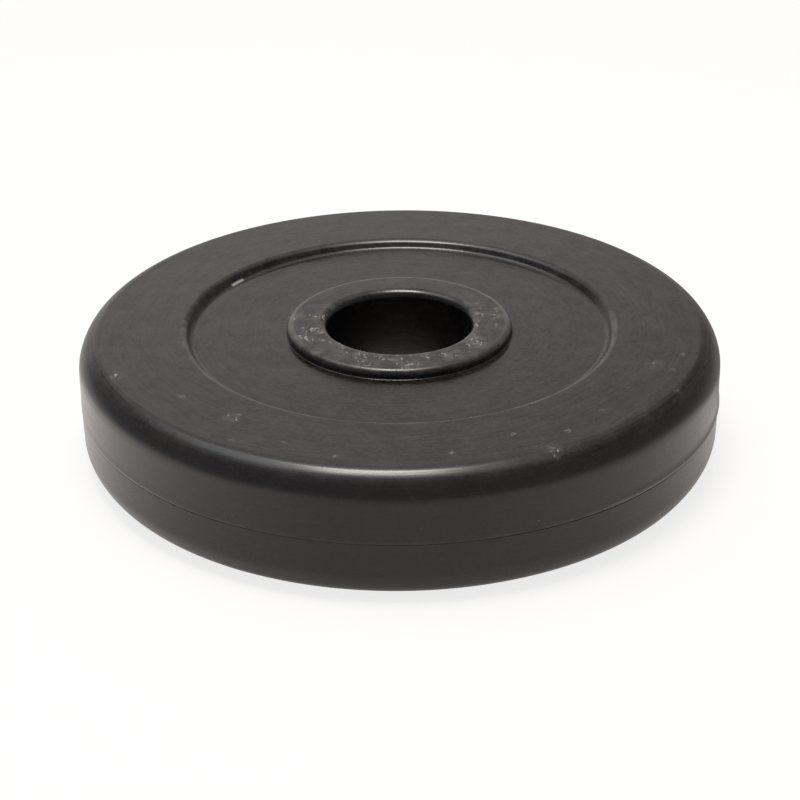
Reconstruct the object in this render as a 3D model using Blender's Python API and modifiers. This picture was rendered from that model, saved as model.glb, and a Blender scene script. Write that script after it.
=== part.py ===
"""Plastic weight plate for a 25 mm bar, modelled as the separate pieces that it is made of.

Two moulded half shells meet in a lapped joint at mid height. A ring of cast sand and cement fills them,
and a snap-in plug closes the port in the back face that the filling was poured through.

The plate lies flat with its front face up. +Z is the axis of the bore, and the origin is the centre of
the bore at mid height. All lengths are in metres.
"""

import math
from typing import NamedTuple

import bpy
from mathutils import Vector

# Driving dimensions of the casing
PLATE_RADIUS = 0.0672
BORE_RADIUS = 0.015
COLLAR_HEIGHT = 0.01355
RIM_HEIGHT = 0.0132
WEB_HEIGHT = 0.0114
COLLAR_RADIUS = 0.0237
STEP_FOOT_RADIUS = 0.0436
STEP_CREST_RADIUS = 0.0449
RIM_EDGE_RADIUS = 0.0632
SHOULDER_SLOPE = math.radians(33)
WALL = 0.0025
DRAFT = math.radians(0.5)

# Roundings of the casing
RIM_EDGE_ROUNDING = 0.0023
SHOULDER_ROUNDING = 0.0064
CREST_ROUNDING = 0.0014
STEP_FOOT_ROUNDING = 0.0016
COLLAR_FOOT_ROUNDING = 0.0008
COLLAR_ROUNDING = 0.0014
BORE_ROUNDING = 0.0018

# The lapped joint between the shells, a little below mid height
JOINT_HEIGHT = -0.0007
SEAM = 0.0003
FIT_GAP = 0.0003
LAP_DEPTH = 0.00125
LAP_HEIGHT = 0.0020
LIP_PROUD = 0.0002
LIP_HEIGHT = 0.0022
SEAM_CHAMFER = 0.0003

# The filler port and its plug, in the web of the back shell
PORT_RADIUS = 0.0050
PORT_ANGLE = math.radians(90)
FLANGE_RADIUS = 0.0070
FLANGE_THICKNESS = 0.0010
FLANGE_ROUNDING = 0.0003
FLANGE_SUNK = 0.0002
DISH_RADIUS = 0.0045
DISH_DEPTH = 0.0004
BARB_PROUD = 0.0004
BARB_HEIGHT = 0.0008
STEM_LENGTH = 0.0050
STEM_WALL = 0.0012
STEM_TAPER = 0.0003

# Facets round the axis
PLATE_STEPS = 60
PLUG_STEPS = 24


class Corner(NamedTuple):
    """A corner of an outline, in the plane of radius and height, and the arc that rounds it."""

    radius: float
    height: float
    rounding: float = 0.0
    facets: int = 1


def rounded(corners):
    """Return the points of the outline through the corners, with an arc at each one that is rounded."""
    points = []
    for index, corner in enumerate(corners):
        here = Vector((corner.radius, corner.height))
        if corner.rounding == 0.0:
            points.append(here)
            continue
        last, following = corners[index - 1], corners[index + 1]
        to_last = (Vector((last.radius, last.height)) - here).normalized()
        to_next = (Vector((following.radius, following.height)) - here).normalized()
        half_angle = to_last.angle(to_next) / 2
        centre = here + (to_last + to_next).normalized() * corner.rounding / math.sin(half_angle)
        start = here + to_last * corner.rounding / math.tan(half_angle) - centre
        turn = math.pi - 2 * half_angle
        if start.x * to_last.y - start.y * to_last.x > 0:
            turn = -turn
        for step in range(corner.facets + 1):
            angle = turn * step / corner.facets
            cosine, sine = math.cos(angle), math.sin(angle)
            spoke = Vector((start.x * cosine - start.y * sine, start.x * sine + start.y * cosine))
            points.append(centre + spoke)
    return points


def moved_in(corners, distance):
    """Return the corners of the outline that lies the distance to the right of this one.

    A rounding shrinks by the distance, as it does on the inside of a wall, and is gone where the wall
    is thicker. It is a hidden one, so it gets half the facets.
    """
    places = [Vector((corner.radius, corner.height)) for corner in corners]
    inner = []
    for index, place in enumerate(places):
        runs = []
        if index > 0:
            runs.append((place - places[index - 1]).normalized())
        if index < len(places) - 1:
            runs.append((places[index + 1] - place).normalized())
        rights = [Vector((run.y, -run.x)) for run in runs]
        mitre = (rights[0] + rights[-1]) / (1 + rights[0].dot(rights[-1]))
        moved = place + mitre * distance
        rounding = max(corners[index].rounding - distance, 0.0)
        facets = (corners[index].facets + 1) // 2
        inner.append(Corner(moved.x, moved.y, rounding, facets))
    return inner


def flipped(outline):
    """Return the outline of the same shape turned face down, still running the right way."""
    return [Vector((point.x, -point.y)) for point in reversed(outline)]


def shoulder():
    """Return the place where the slope down from the rim's edge meets the leaning side wall."""
    fall, lean = math.tan(SHOULDER_SLOPE), math.tan(DRAFT)
    height = (RIM_HEIGHT - (PLATE_RADIUS - RIM_EDGE_RADIUS) * fall) / (1 - fall * lean)
    return PLATE_RADIUS - height * lean, height


def face_corners():
    """Return the corners of a shell's outer skin, from the bore's wall over the face to the side wall."""
    bore_lean = COLLAR_HEIGHT * math.tan(DRAFT)
    return [
        Corner(BORE_RADIUS + bore_lean, COLLAR_HEIGHT, BORE_ROUNDING, 3),
        Corner(COLLAR_RADIUS, COLLAR_HEIGHT, COLLAR_ROUNDING, 3),
        Corner(COLLAR_RADIUS, WEB_HEIGHT, COLLAR_FOOT_ROUNDING, 2),
        Corner(STEP_FOOT_RADIUS, WEB_HEIGHT, STEP_FOOT_ROUNDING, 2),
        Corner(STEP_CREST_RADIUS, RIM_HEIGHT, CREST_ROUNDING, 2),
        Corner(RIM_EDGE_RADIUS, RIM_HEIGHT, RIM_EDGE_ROUNDING, 3),
        Corner(*shoulder(), SHOULDER_ROUNDING, 4),
    ]


def cavity_corners(inset):
    """Return the corners of the face's underside, the inset below its outer skin."""
    skin = [Corner(BORE_RADIUS, 0.0)] + face_corners() + [Corner(PLATE_RADIUS, 0.0)]
    return moved_in(skin, inset)[1:-1]


def shell_outline(bore_edge, side_edge, lap_depth, lap_height):
    """Return the closed outline of a half shell that lies face up.

    The edges are the corners of the skin where it meets the other shell, and end at the shell's own
    edge. The wall behind them is cut to the lap's height, from the lap's depth inwards: a rebate where
    that is above the edge, and a tongue where it is below.
    """
    edge_height = bore_edge[0].height
    bore_lap = [Corner(BORE_RADIUS + WALL, lap_height), Corner(BORE_RADIUS + lap_depth, lap_height)]
    side_lap = [Corner(PLATE_RADIUS - lap_depth, lap_height), Corner(PLATE_RADIUS - WALL, lap_height)]
    skin = rounded(bore_edge + face_corners() + side_edge)
    cavity = rounded([bore_lap[0]] + cavity_corners(WALL) + [side_lap[1]])
    bore_step = Corner(BORE_RADIUS + lap_depth, edge_height)
    side_step = Corner(PLATE_RADIUS - lap_depth, edge_height)
    return skin + rounded([side_step, side_lap[0]]) + cavity[::-1] + rounded([bore_lap[1], bore_step])


def front_outline():
    """Return the front shell's outline, with its rebate and the low bead that stands proud at the seam."""
    edge_height = JOINT_HEIGHT + SEAM / 2
    bore_edge = [Corner(BORE_RADIUS, edge_height)]
    side_edge = [
        Corner(PLATE_RADIUS, edge_height + LIP_HEIGHT),
        Corner(PLATE_RADIUS + LIP_PROUD, edge_height + LIP_HEIGHT / 2),
        Corner(PLATE_RADIUS + LIP_PROUD, edge_height + LIP_HEIGHT / 5),
        Corner(PLATE_RADIUS + LIP_PROUD / 2, edge_height),
    ]
    return shell_outline(bore_edge, side_edge, LAP_DEPTH, JOINT_HEIGHT + LAP_HEIGHT)


def back_outline():
    """Return the back shell's outline, with its tongue and a chamfer that leaves a groove at the seam."""
    edge_height = SEAM / 2 - JOINT_HEIGHT
    tongue_end = FIT_GAP - LAP_HEIGHT - JOINT_HEIGHT
    bore_edge = [Corner(BORE_RADIUS, edge_height)]
    side_edge = [
        Corner(PLATE_RADIUS, edge_height + SEAM_CHAMFER),
        Corner(PLATE_RADIUS - SEAM_CHAMFER, edge_height),
    ]
    return flipped(shell_outline(bore_edge, side_edge, LAP_DEPTH + FIT_GAP, tongue_end))


def ballast_outline():
    """Return the outline of the cast ring, which fills both shells up to the fitting gap."""
    inset = WALL + FIT_GAP
    middle = Corner(PLATE_RADIUS - inset, 0.0)
    front_half = rounded(cavity_corners(inset) + [middle])
    return front_half + flipped(front_half)[1:]


def port_depths():
    """Return the heights above the web's outer skin at which the port steps in and the wall ends."""
    return FLANGE_SUNK + FLANGE_THICKNESS + FIT_GAP, WALL


def port_outline():
    """Return the outline of the tool that cuts the port: a counterbore with a hole through the wall."""
    counterbore_depth, wall_end = port_depths()
    past_the_wall = 0.001
    return rounded(
        [
            Corner(0.0, wall_end + past_the_wall),
            Corner(PORT_RADIUS, wall_end + past_the_wall),
            Corner(PORT_RADIUS, counterbore_depth),
            Corner(FLANGE_RADIUS + FIT_GAP, counterbore_depth),
            Corner(FLANGE_RADIUS + FIT_GAP, -past_the_wall),
            Corner(0.0, -past_the_wall),
        ]
    )


def pocket_outline():
    """Return the outline of the pocket that the plug's stem leaves in the cast ring."""
    pocket_radius = PORT_RADIUS + BARB_PROUD + FIT_GAP
    pocket_end = FLANGE_SUNK + FLANGE_THICKNESS + STEM_LENGTH + FIT_GAP
    return rounded(
        [
            Corner(0.0, pocket_end),
            Corner(pocket_radius, pocket_end),
            Corner(pocket_radius, 0.0),
            Corner(0.0, 0.0),
        ]
    )


def plug_outline():
    """Return the plug's outline: a dished flange and a hollow stem with a barb behind the wall."""
    stem_radius = PORT_RADIUS - FIT_GAP
    flange_end = FLANGE_SUNK + FLANGE_THICKNESS
    stem_end = flange_end + STEM_LENGTH
    barb_start = WALL + FIT_GAP
    return rounded(
        [
            Corner(0.0, flange_end),
            Corner(stem_radius - STEM_WALL, flange_end),
            Corner(stem_radius - STEM_WALL, stem_end),
            Corner(stem_radius - STEM_TAPER, stem_end),
            Corner(PORT_RADIUS + BARB_PROUD, barb_start + BARB_HEIGHT),
            Corner(PORT_RADIUS + BARB_PROUD, barb_start),
            Corner(stem_radius, barb_start),
            Corner(stem_radius, flange_end),
            Corner(FLANGE_RADIUS, flange_end),
            Corner(FLANGE_RADIUS, FLANGE_SUNK, FLANGE_ROUNDING, 2),
            Corner(DISH_RADIUS, FLANGE_SUNK),
            Corner(DISH_RADIUS - DISH_DEPTH, FLANGE_SUNK + DISH_DEPTH),
            Corner(0.0, FLANGE_SUNK + DISH_DEPTH),
        ]
    )


def plastic(name, grey, roughness):
    """Return a plain material of one dark grey."""
    material = bpy.data.materials.new(name)
    material.use_nodes = True
    shader = material.node_tree.nodes["Principled BSDF"]
    shader.inputs["Base Color"].default_value = (*grey, 1.0)
    shader.inputs["Roughness"].default_value = roughness
    shader.inputs["Metallic"].default_value = 0.0
    material.diffuse_color = (*grey, 1.0)
    return material


def turned(name, outline, closed, steps, collection):
    """Add an object whose outline is turned once round its own Z axis by a Screw modifier."""
    mesh = bpy.data.meshes.new(name)
    edges = [(index, index + 1) for index in range(len(outline) - 1)]
    if closed:
        edges.append((len(outline) - 1, 0))
    mesh.from_pydata([(point.x, 0.0, point.y) for point in outline], edges, [])
    turned_object = bpy.data.objects.new(name, mesh)
    collection.objects.link(turned_object)
    screw = turned_object.modifiers.new("turn", "SCREW")
    screw.axis = "Z"
    screw.angle = math.tau
    screw.steps = steps
    screw.render_steps = steps
    screw.use_merge_vertices = True
    screw.merge_threshold = 0.00001
    screw.use_smooth_shade = True
    return turned_object


def cut(target, cutter):
    """Cut the cutter's shape out of the target with a live Boolean."""
    boolean = target.modifiers.new("cut " + cutter.name, "BOOLEAN")
    boolean.operation = "DIFFERENCE"
    boolean.object = cutter


def cutter(name, outline, place, collection):
    """Add a turned cutting tool, drawn as wire and left out of renders."""
    tool = turned(name, outline, False, PLUG_STEPS, collection)
    tool.location = place
    tool.hide_render = True
    tool.display_type = "WIRE"
    return tool


def clear_scene():
    """Remove every object, so that the model starts from an empty scene."""
    for leftover in list(bpy.data.objects):
        bpy.data.objects.remove(leftover, do_unlink=True)


def new_collection(name):
    """Return a new collection in the scene."""
    collection = bpy.data.collections.new(name)
    bpy.context.scene.collection.children.link(collection)
    return collection


def build():
    """Model the plate."""
    clear_scene()
    pieces = new_collection("weight_plate")
    cutters = new_collection("cutters")
    casing_black = plastic("casing plastic", (0.022, 0.0215, 0.021), 0.42)
    plug_black = plastic("plug plastic", (0.018, 0.018, 0.018), 0.5)
    cement_grey = plastic("sand and cement", (0.32, 0.30, 0.27), 0.9)

    centre = bpy.data.objects.new("bore_centre", None)
    centre.empty_display_size = BORE_RADIUS
    pieces.objects.link(centre)

    front_shell = turned("front_shell", front_outline(), True, PLATE_STEPS, pieces)
    front_shell.data.materials.append(casing_black)

    back_shell = turned("back_shell", back_outline(), True, PLATE_STEPS, pieces)
    back_shell.data.materials.append(casing_black.copy())

    ballast_ring = turned("ballast_ring", ballast_outline(), True, PLATE_STEPS, pieces)
    ballast_ring.data.materials.append(cement_grey)

    filler_plug = turned("filler_plug", plug_outline(), False, PLUG_STEPS, pieces)
    filler_plug.data.materials.append(plug_black)

    port_distance = (COLLAR_RADIUS + STEP_FOOT_RADIUS) / 2
    port_place = Vector(
        (
            port_distance * math.cos(PORT_ANGLE),
            port_distance * math.sin(PORT_ANGLE),
            -WEB_HEIGHT,
        )
    )
    filler_plug.location = port_place
    cut(back_shell, cutter("filler port", port_outline(), port_place, cutters))
    cut(ballast_ring, cutter("stem pocket", pocket_outline(), port_place, cutters))

    for piece in (front_shell, back_shell, ballast_ring, filler_plug):
        piece.parent = centre


build()
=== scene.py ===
# %% [markdown]
# A moulded weight plate
#
# This lesson dresses a finished CAD model. The object is a round plastic plate for a weight bar: two moulded
# half shells, a ring of cast sand and cement inside them, and a small plug that closes the filling port.
# The CAD solids are loaded first and stay as they are. Each visible shell is then modelled again at full
# smoothness on the same dimensions, and stands in for its solid.

# %% Load the frame
import math
import random

import bpy
import bmesh
from mathutils import Matrix, Vector, noise


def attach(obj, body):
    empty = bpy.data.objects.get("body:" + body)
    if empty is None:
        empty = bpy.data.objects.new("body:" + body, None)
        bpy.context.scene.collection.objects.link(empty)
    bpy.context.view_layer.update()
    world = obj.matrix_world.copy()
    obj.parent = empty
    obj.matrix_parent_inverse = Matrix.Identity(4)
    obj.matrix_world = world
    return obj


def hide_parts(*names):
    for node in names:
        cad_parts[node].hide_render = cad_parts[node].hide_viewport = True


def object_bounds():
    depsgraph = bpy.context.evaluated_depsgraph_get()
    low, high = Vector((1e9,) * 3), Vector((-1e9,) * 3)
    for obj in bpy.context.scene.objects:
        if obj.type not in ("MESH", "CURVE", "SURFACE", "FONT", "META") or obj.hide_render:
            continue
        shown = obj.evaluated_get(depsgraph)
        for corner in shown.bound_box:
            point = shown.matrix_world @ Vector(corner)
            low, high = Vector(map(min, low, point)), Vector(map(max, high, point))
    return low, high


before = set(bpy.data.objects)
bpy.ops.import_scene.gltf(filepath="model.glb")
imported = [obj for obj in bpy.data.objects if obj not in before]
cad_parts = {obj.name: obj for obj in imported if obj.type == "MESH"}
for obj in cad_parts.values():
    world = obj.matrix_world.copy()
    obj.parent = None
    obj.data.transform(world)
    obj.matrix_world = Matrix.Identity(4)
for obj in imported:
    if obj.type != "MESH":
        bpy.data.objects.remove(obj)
cad_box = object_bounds()
print("CAD nodes:", list(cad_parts))
print("CAD box in mm:", [[round(1000 * value, 1) for value in corner] for corner in cad_box])

# %% [markdown]
# The camera
#
# A photograph gives away its own viewpoint: each circle on the plate is seen as an ellipse, and how flat
# the ellipses are, and how they grow towards the lens, fixes the angle and the distance. Here that
# is 27 degrees above the plate from a little under half a metre, through a long lens. The camera was also
# held about half a degree out of level.
# A camera looks along its own negative Z axis, so its matrix is built from three directions: what is
# right, what is up, and what is behind it.

# %% Place the camera
LOOKING_DOWN = math.radians(27.2)
HELD_ASKEW = 0.010
CAMERA_PLACE = Vector((0.0, -0.3813, 0.1907))


def direction_matrix(right, up, place):
    """Return the matrix of an object whose X axis is right, whose Y axis is up, and that stands at place."""
    behind = right.cross(up)
    return Matrix.Translation(place) @ Matrix((right, up, behind)).transposed().to_4x4()


level_up = Vector((0.0, math.sin(LOOKING_DOWN), math.cos(LOOKING_DOWN)))
level_right = Vector((1.0, 0.0, 0.0))
camera_right = level_right * math.cos(HELD_ASKEW) - level_up * math.sin(HELD_ASKEW)
camera_up = level_right * math.sin(HELD_ASKEW) + level_up * math.cos(HELD_ASKEW)

lens = bpy.data.cameras.new("long lens")
lens.lens = 90.0
lens.sensor_width = 36.0
lens.clip_start = 0.01
camera = bpy.data.objects.new("camera", lens)
bpy.context.scene.collection.objects.link(camera)
camera.matrix_world = direction_matrix(camera_right, camera_up, CAMERA_PLACE)
bpy.context.scene.camera = camera
bpy.context.scene.view_settings.view_transform = "Standard"
print("camera at", [round(1000 * value, 1) for value in CAMERA_PLACE], "mm, lens", lens.lens, "mm")

# %% [markdown]
# The floor
#
# The plate lies on a pale floor. A camera ray that hits the floor should see nearly white paper, but the
# paper must not glow so brightly that the plate's shadow is lost. So the floor's material mixes a plain
# matt surface, which takes shadows, with a little light of its own that only camera rays and reflections
# see. Light that bounces from the floor to the plate comes from the matt surface alone.
# The side wall mirrors the floor, and shows that it is brighter on both sides of the plate, fades with the
# distance, and is dim behind the plate, above all on the right.

# %% Lay the floor
FLOOR_HEIGHT = cad_box[0][2]
FLOOR_SIZE = 6.0
PAPER = (0.80, 0.78, 0.76, 1.0)
PAPER_GLOW = (1.0, 0.925, 0.895, 1.0)
WHITE = (1.0, 1.0, 1.0, 1.0)
SEEN_AS_WHITE = 0.80
SEEN_IN_GLOSS = 0.60
GLOSS_NEAR = 0.70
GLOSS_SIDES = 1.85
GLOSS_RIGHT = 0.50
GLOSS_FAR = 0.40
GLOSS_BEHIND_LEFT = 0.30
GLOSS_BEHIND_RIGHT = 0.15
DARK_IN_GLOSS = 0.75
SIDES_START = 0.02
SIDES_END = 0.16
FADE_START = 0.06
FADE_END = 0.26


def nothing_selected():
    """Leave edit mode and deselect everything, so that the next operator acts on its own piece only."""
    if bpy.context.object and bpy.context.object.mode != "OBJECT":
        bpy.ops.object.mode_set(mode="OBJECT")
    bpy.ops.object.select_all(action="DESELECT")


def new_material(name):
    """Return a new material with its node tree and its main shader."""
    material = bpy.data.materials.new(name)
    material.use_nodes = True
    return material, material.node_tree, material.node_tree.nodes["Principled BSDF"]


def fill_inputs(tree, node, values):
    """Set each input of the node to its number or vector, or link it to its socket."""
    for slot, value in zip(node.inputs, values):
        if isinstance(value, (int, float, tuple, Vector)):
            slot.default_value = value
        else:
            tree.links.new(value, slot)


def sums(tree, operation, *values):
    """Add a Math node on sockets or numbers and return its output."""
    node = tree.nodes.new("ShaderNodeMath")
    node.operation = operation
    fill_inputs(tree, node, values)
    return node.outputs[0]


def vector_sums(tree, operation, *values):
    """Add a Vector Math node on sockets or vectors and return its outputs."""
    node = tree.nodes.new("ShaderNodeVectorMath")
    node.operation = operation
    fill_inputs(tree, node, values)
    return node.outputs


def axes_of(tree, vector):
    """Return the sockets of the vector's X, Y and Z."""
    node = tree.nodes.new("ShaderNodeSeparateXYZ")
    tree.links.new(vector, node.inputs["Vector"])
    return node.outputs


def product(tree, *masks):
    """Return all the masks multiplied together."""
    result = masks[0]
    for mask in masks[1:]:
        result = sums(tree, "MULTIPLY", result, mask)
    return result


def brightest(tree, masks):
    """Return the largest of the masks at each place."""
    result = masks[0]
    for mask in masks[1:]:
        result = sums(tree, "MAXIMUM", result, mask)
    return result


def layered(tree, base, layers):
    """Add each layer, given as a mask and its share, to the base."""
    for mask, share in layers:
        base = sums(tree, "MULTIPLY_ADD", mask, share, base)
    return base


def away_from(tree, value, middle):
    """Return how far the value is from the middle, on either side of it."""
    return sums(tree, "ABSOLUTE", sums(tree, "SUBTRACT", value, middle))


def object_place(tree):
    """Return the socket that tells the place of a point on its own piece."""
    return tree.nodes.new("ShaderNodeTexCoord").outputs["Object"]


def between(tree, value, low, high, low_result=0.0, high_result=1.0):
    """Add a smooth Map Range node and return its output."""
    node = tree.nodes.new("ShaderNodeMapRange")
    node.interpolation_type = "SMOOTHSTEP"
    tree.links.new(value, node.inputs["Value"])
    ranges = {"From Min": low, "From Max": high, "To Min": low_result, "To Max": high_result}
    for name, number in ranges.items():
        node.inputs[name].default_value = number
    return node.outputs["Result"]


def blend(tree, factor, first, second, blend_type="MIX"):
    """Mix two colours, each a colour or a socket, and return the result."""
    node = tree.nodes.new("ShaderNodeMix")
    node.data_type = "RGBA"
    node.blend_type = blend_type
    if isinstance(factor, float):
        node.inputs["Factor"].default_value = factor
    else:
        tree.links.new(factor, node.inputs["Factor"])
    colours = [socket for socket in node.inputs if socket.type == "RGBA"]
    for socket, value in zip(colours, (first, second)):
        if isinstance(value, tuple):
            socket.default_value = value
        else:
            tree.links.new(value, socket)
    return [socket for socket in node.outputs if socket.type == "RGBA"][0]


nothing_selected()
bpy.ops.mesh.primitive_plane_add(size=FLOOR_SIZE, location=(0.0, 0.0, FLOOR_HEIGHT))
floor = bpy.context.object
floor.name = "paper_floor"
paper, tree, matt = new_material("pale paper")
matt.inputs["Base Color"].default_value = PAPER
matt.inputs["Roughness"].default_value = 0.7
matt.inputs["Specular IOR Level"].default_value = 0.2
spot = object_place(tree)
axes = axes_of(tree, spot)
right_side = between(tree, axes["X"], SIDES_START, SIDES_END, 0.0, GLOSS_RIGHT)
left_side = between(tree, sums(tree, "MULTIPLY", axes["X"], -1.0), SIDES_START, SIDES_END)
sideways = sums(tree, "ADD", right_side, left_side)
lit = sums(tree, "MULTIPLY_ADD", sideways, GLOSS_SIDES, GLOSS_NEAR)
from_middle = vector_sums(tree, "LENGTH", spot)["Value"]
fading = between(tree, from_middle, FADE_START, FADE_END, 1.0, GLOSS_FAR)
on_right = between(tree, axes["X"], 0.045, 0.075)
behind_right = sums(tree, "MULTIPLY", between(tree, axes["Y"], -0.004, 0.031), on_right)
on_left = between(tree, axes["X"], -0.08, -0.05, 1.0, 0.0)
behind_left = sums(tree, "MULTIPLY", between(tree, axes["Y"], 0.02, 0.06), on_left)
right_share = sums(tree, "MULTIPLY_ADD", behind_right, GLOSS_BEHIND_RIGHT - 1.0, 1.0)
left_share = sums(tree, "MULTIPLY_ADD", behind_left, GLOSS_BEHIND_LEFT - 1.0, 1.0)
dimmed = sums(tree, "MULTIPLY", right_share, left_share)
lit = product(tree, lit, fading, dimmed)
rays = tree.nodes.new("ShaderNodeLightPath")
glow = tree.nodes.new("ShaderNodeEmission")
lit_paper = blend(tree, 1.0, PAPER_GLOW, lit, "MULTIPLY")
tree.links.new(blend(tree, rays.outputs["Is Camera Ray"], lit_paper, WHITE), glow.inputs["Color"])
gloss_rays = sums(tree, "MAXIMUM", rays.outputs["Is Glossy Ray"], rays.outputs["Is Transmission Ray"])
camera_share = sums(tree, "MULTIPLY", rays.outputs["Is Camera Ray"], SEEN_AS_WHITE)
gloss_level = sums(tree, "MULTIPLY_ADD", behind_right, DARK_IN_GLOSS - SEEN_IN_GLOSS, SEEN_IN_GLOSS)
glow_share = sums(tree, "MULTIPLY_ADD", gloss_rays, gloss_level, camera_share)
mixed = tree.nodes.new("ShaderNodeMixShader")
tree.links.new(glow_share, mixed.inputs["Fac"])
tree.links.new(matt.outputs["BSDF"], mixed.inputs[1])
tree.links.new(glow.outputs["Emission"], mixed.inputs[2])
tree.links.new(mixed.outputs["Shader"], tree.nodes["Material Output"].inputs["Surface"])
floor.data.materials.append(paper)
print("floor", FLOOR_SIZE, "m wide at", round(1000 * FLOOR_HEIGHT, 2), "mm")

# %% [markdown]
# The light
#
# Black plastic has hardly any colour of its own, so nearly all that the eye sees on it is the room,
# mirrored softly. The large rounding works like a round mirror: each tilt of its surface shows another
# direction, and reading the photograph that way gives the room. There is a pale wall behind the plate, a
# brighter ceiling that fades downwards, a dim room behind the camera and on the right, and one broad lamp
# above the plate, a little to the left, which is the bright line on the near rounding, with a
# weaker one beside it. The room is a world whose grey depends on the direction, a sum of one plain level and
# five soft lobes, and a sixth lobe only cools the tint of the left. The broad lamp is a rectangular area
# light, so that it also casts the shadow under the plate, and one of the lobes is the glow round it.

# %% Light the room
ROOM_LEVEL = 0.21
WALL_BEHIND = 0.58
CEILING_GLOW = 0.80
SECOND_LAMP = 1.7
LAMP_HALO = 0.56
UPPER_PANE = 0.90
WALL_DIRECTION = (-0.174, 0.985, 0.0)
CEILING_DIRECTION = (-0.10, 0.25, 0.963)
SECOND_DIRECTION = (-0.40, 0.07, 0.913)
LAMP_DIRECTION = Vector((-0.065, -0.050, 0.997)).normalized()
LAMP_DISTANCE = 1.0
LAMP_WIDTH = math.radians(22.0)
LAMP_DEPTH = math.radians(15.0)
LAMP_RADIANCE = 24.5
HALO_DIRECTION = (0.03, 0.03, 0.999)
PANE_DIRECTION = (-0.51, 0.34, 0.79)
LEFT_DIRECTION = (-0.90, -0.38, 0.20)
PLAIN_TINT = (1.0, 0.975, 0.970, 1.0)
LEFT_TINT = (0.90, 0.98, 1.08, 1.0)
WARM_TINT = (1.0, 0.952, 0.915, 1.0)
COOL_TINT = (0.86, 0.94, 1.0, 1.0)


def lobe(tree, direction_output, direction, start, end, strength):
    """Return a soft patch of light on the world, brightest in that direction."""
    aligned = vector_sums(tree, "DOT_PRODUCT", direction_output, direction)["Value"]
    return between(tree, aligned, start, end, 0.0, strength)


softbox = bpy.data.lights.new("soft lamp", "AREA")
softbox.shape = "RECTANGLE"
softbox.size = 2.0 * LAMP_DISTANCE * math.tan(LAMP_WIDTH / 2.0)
softbox.size_y = 2.0 * LAMP_DISTANCE * math.tan(LAMP_DEPTH / 2.0)
softbox.energy = LAMP_RADIANCE * math.pi * softbox.size * softbox.size_y
softbox.color = (1.0, 0.965, 0.880)
lamp = bpy.data.objects.new("soft_lamp", softbox)
bpy.context.scene.collection.objects.link(lamp)
lamp_right = Vector((0.0, 1.0, 0.0)).cross(LAMP_DIRECTION).normalized()
lamp_up = LAMP_DIRECTION.cross(lamp_right)
lamp.matrix_world = direction_matrix(lamp_right, lamp_up, LAMP_DIRECTION * LAMP_DISTANCE)
lamp.visible_camera = False

room = bpy.data.worlds.new("room")
bpy.context.scene.world = room
room.use_nodes = True
tree = room.node_tree
tree.nodes.clear()
looking = tree.nodes.new("ShaderNodeTexCoord").outputs["Generated"]
wall_light = lobe(tree, looking, WALL_DIRECTION, 0.76, 0.96, WALL_BEHIND)
ceiling_light = lobe(tree, looking, CEILING_DIRECTION, 0.60, 1.0, CEILING_GLOW)
second_light = lobe(tree, looking, SECOND_DIRECTION, 0.93, 1.0, SECOND_LAMP)
pane_light = lobe(tree, looking, PANE_DIRECTION, 0.965, 1.0, UPPER_PANE)
halo_light = lobe(tree, looking, HALO_DIRECTION, 0.88, 1.0, LAMP_HALO)
ceiling_light = sums(tree, "ADD", ceiling_light, halo_light)
room_colours = [tuple(ROOM_LEVEL * share for share in tint[:3]) + (1.0,) for tint in (PLAIN_TINT, LEFT_TINT)]
plain = blend(tree, lobe(tree, looking, LEFT_DIRECTION, 0.1, 0.9, 1.0), *room_colours)
warm = blend(tree, 1.0, WARM_TINT, sums(tree, "ADD", wall_light, ceiling_light), "MULTIPLY")
cool = blend(tree, 1.0, COOL_TINT, sums(tree, "ADD", second_light, pane_light), "MULTIPLY")
tinted = blend(tree, 1.0, blend(tree, 1.0, warm, cool, "ADD"), plain, "ADD")
rays = tree.nodes.new("ShaderNodeLightPath")
background = tree.nodes.new("ShaderNodeBackground")
output = tree.nodes.new("ShaderNodeOutputWorld")
tree.links.new(blend(tree, rays.outputs["Is Camera Ray"], tinted, WHITE), background.inputs["Color"])
tree.links.new(background.outputs["Background"], output.inputs["Surface"])
print("lamp", round(softbox.size, 2), "by", round(softbox.size_y, 2), "m,", round(softbox.energy, 1), "W")

# %% [markdown]
# Turned shapes
#
# A plate for a bar is a body of revolution, and so is everything on it. The quickest true way to model one
# is the way it is drawn: half of its section is drawn as an outline beside the axis, and the outline is spun
# once round. In Blender the outline starts as a single vertex, a plane that is merged to its centre, and
# each next corner is extruded from the last. A corner is rounded with a vertex bevel while it is still a
# wire, where one bevel does the work of a whole ring of edges.
# Beside each rounding the outline gets one holding point, where there is room for it. Without it the shading
# of the rounding would bleed far into the flat face beside it.

# %% Helpers that draw, round and spin an outline
HOLDING = 0.00025
TINY = 0.000001


def place_of(corner):
    """Return the place of a corner in the plane of X and Z."""
    return Vector((corner[0], 0.0, corner[1]))


def edit(piece):
    """Enter edit mode on the piece, with vertices as what is selected."""
    nothing_selected()
    bpy.context.view_layer.objects.active = piece
    piece.select_set(True)
    bpy.ops.object.mode_set(mode="EDIT")
    bpy.ops.mesh.select_mode(type="VERT")
    bpy.ops.mesh.select_all(action="DESELECT")


def select_where(piece, test):
    """Select the vertices whose place passes the test, and return how many there are."""
    mesh = bmesh.from_edit_mesh(piece.data)
    found = 0
    for vertex in mesh.verts:
        vertex.select = bool(test(vertex.co))
        found += vertex.select
    mesh.select_flush_mode()
    bmesh.update_edit_mesh(piece.data)
    return found


def sharp(radius, height):
    """Return a corner of an outline that isn't rounded."""
    return radius, height, 0.0, 0


def apply_modifier(piece, modifier):
    """Make the modifier's result the piece's own mesh."""
    bpy.context.view_layer.objects.active = piece
    bpy.ops.object.modifier_apply(modifier=modifier.name)


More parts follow.
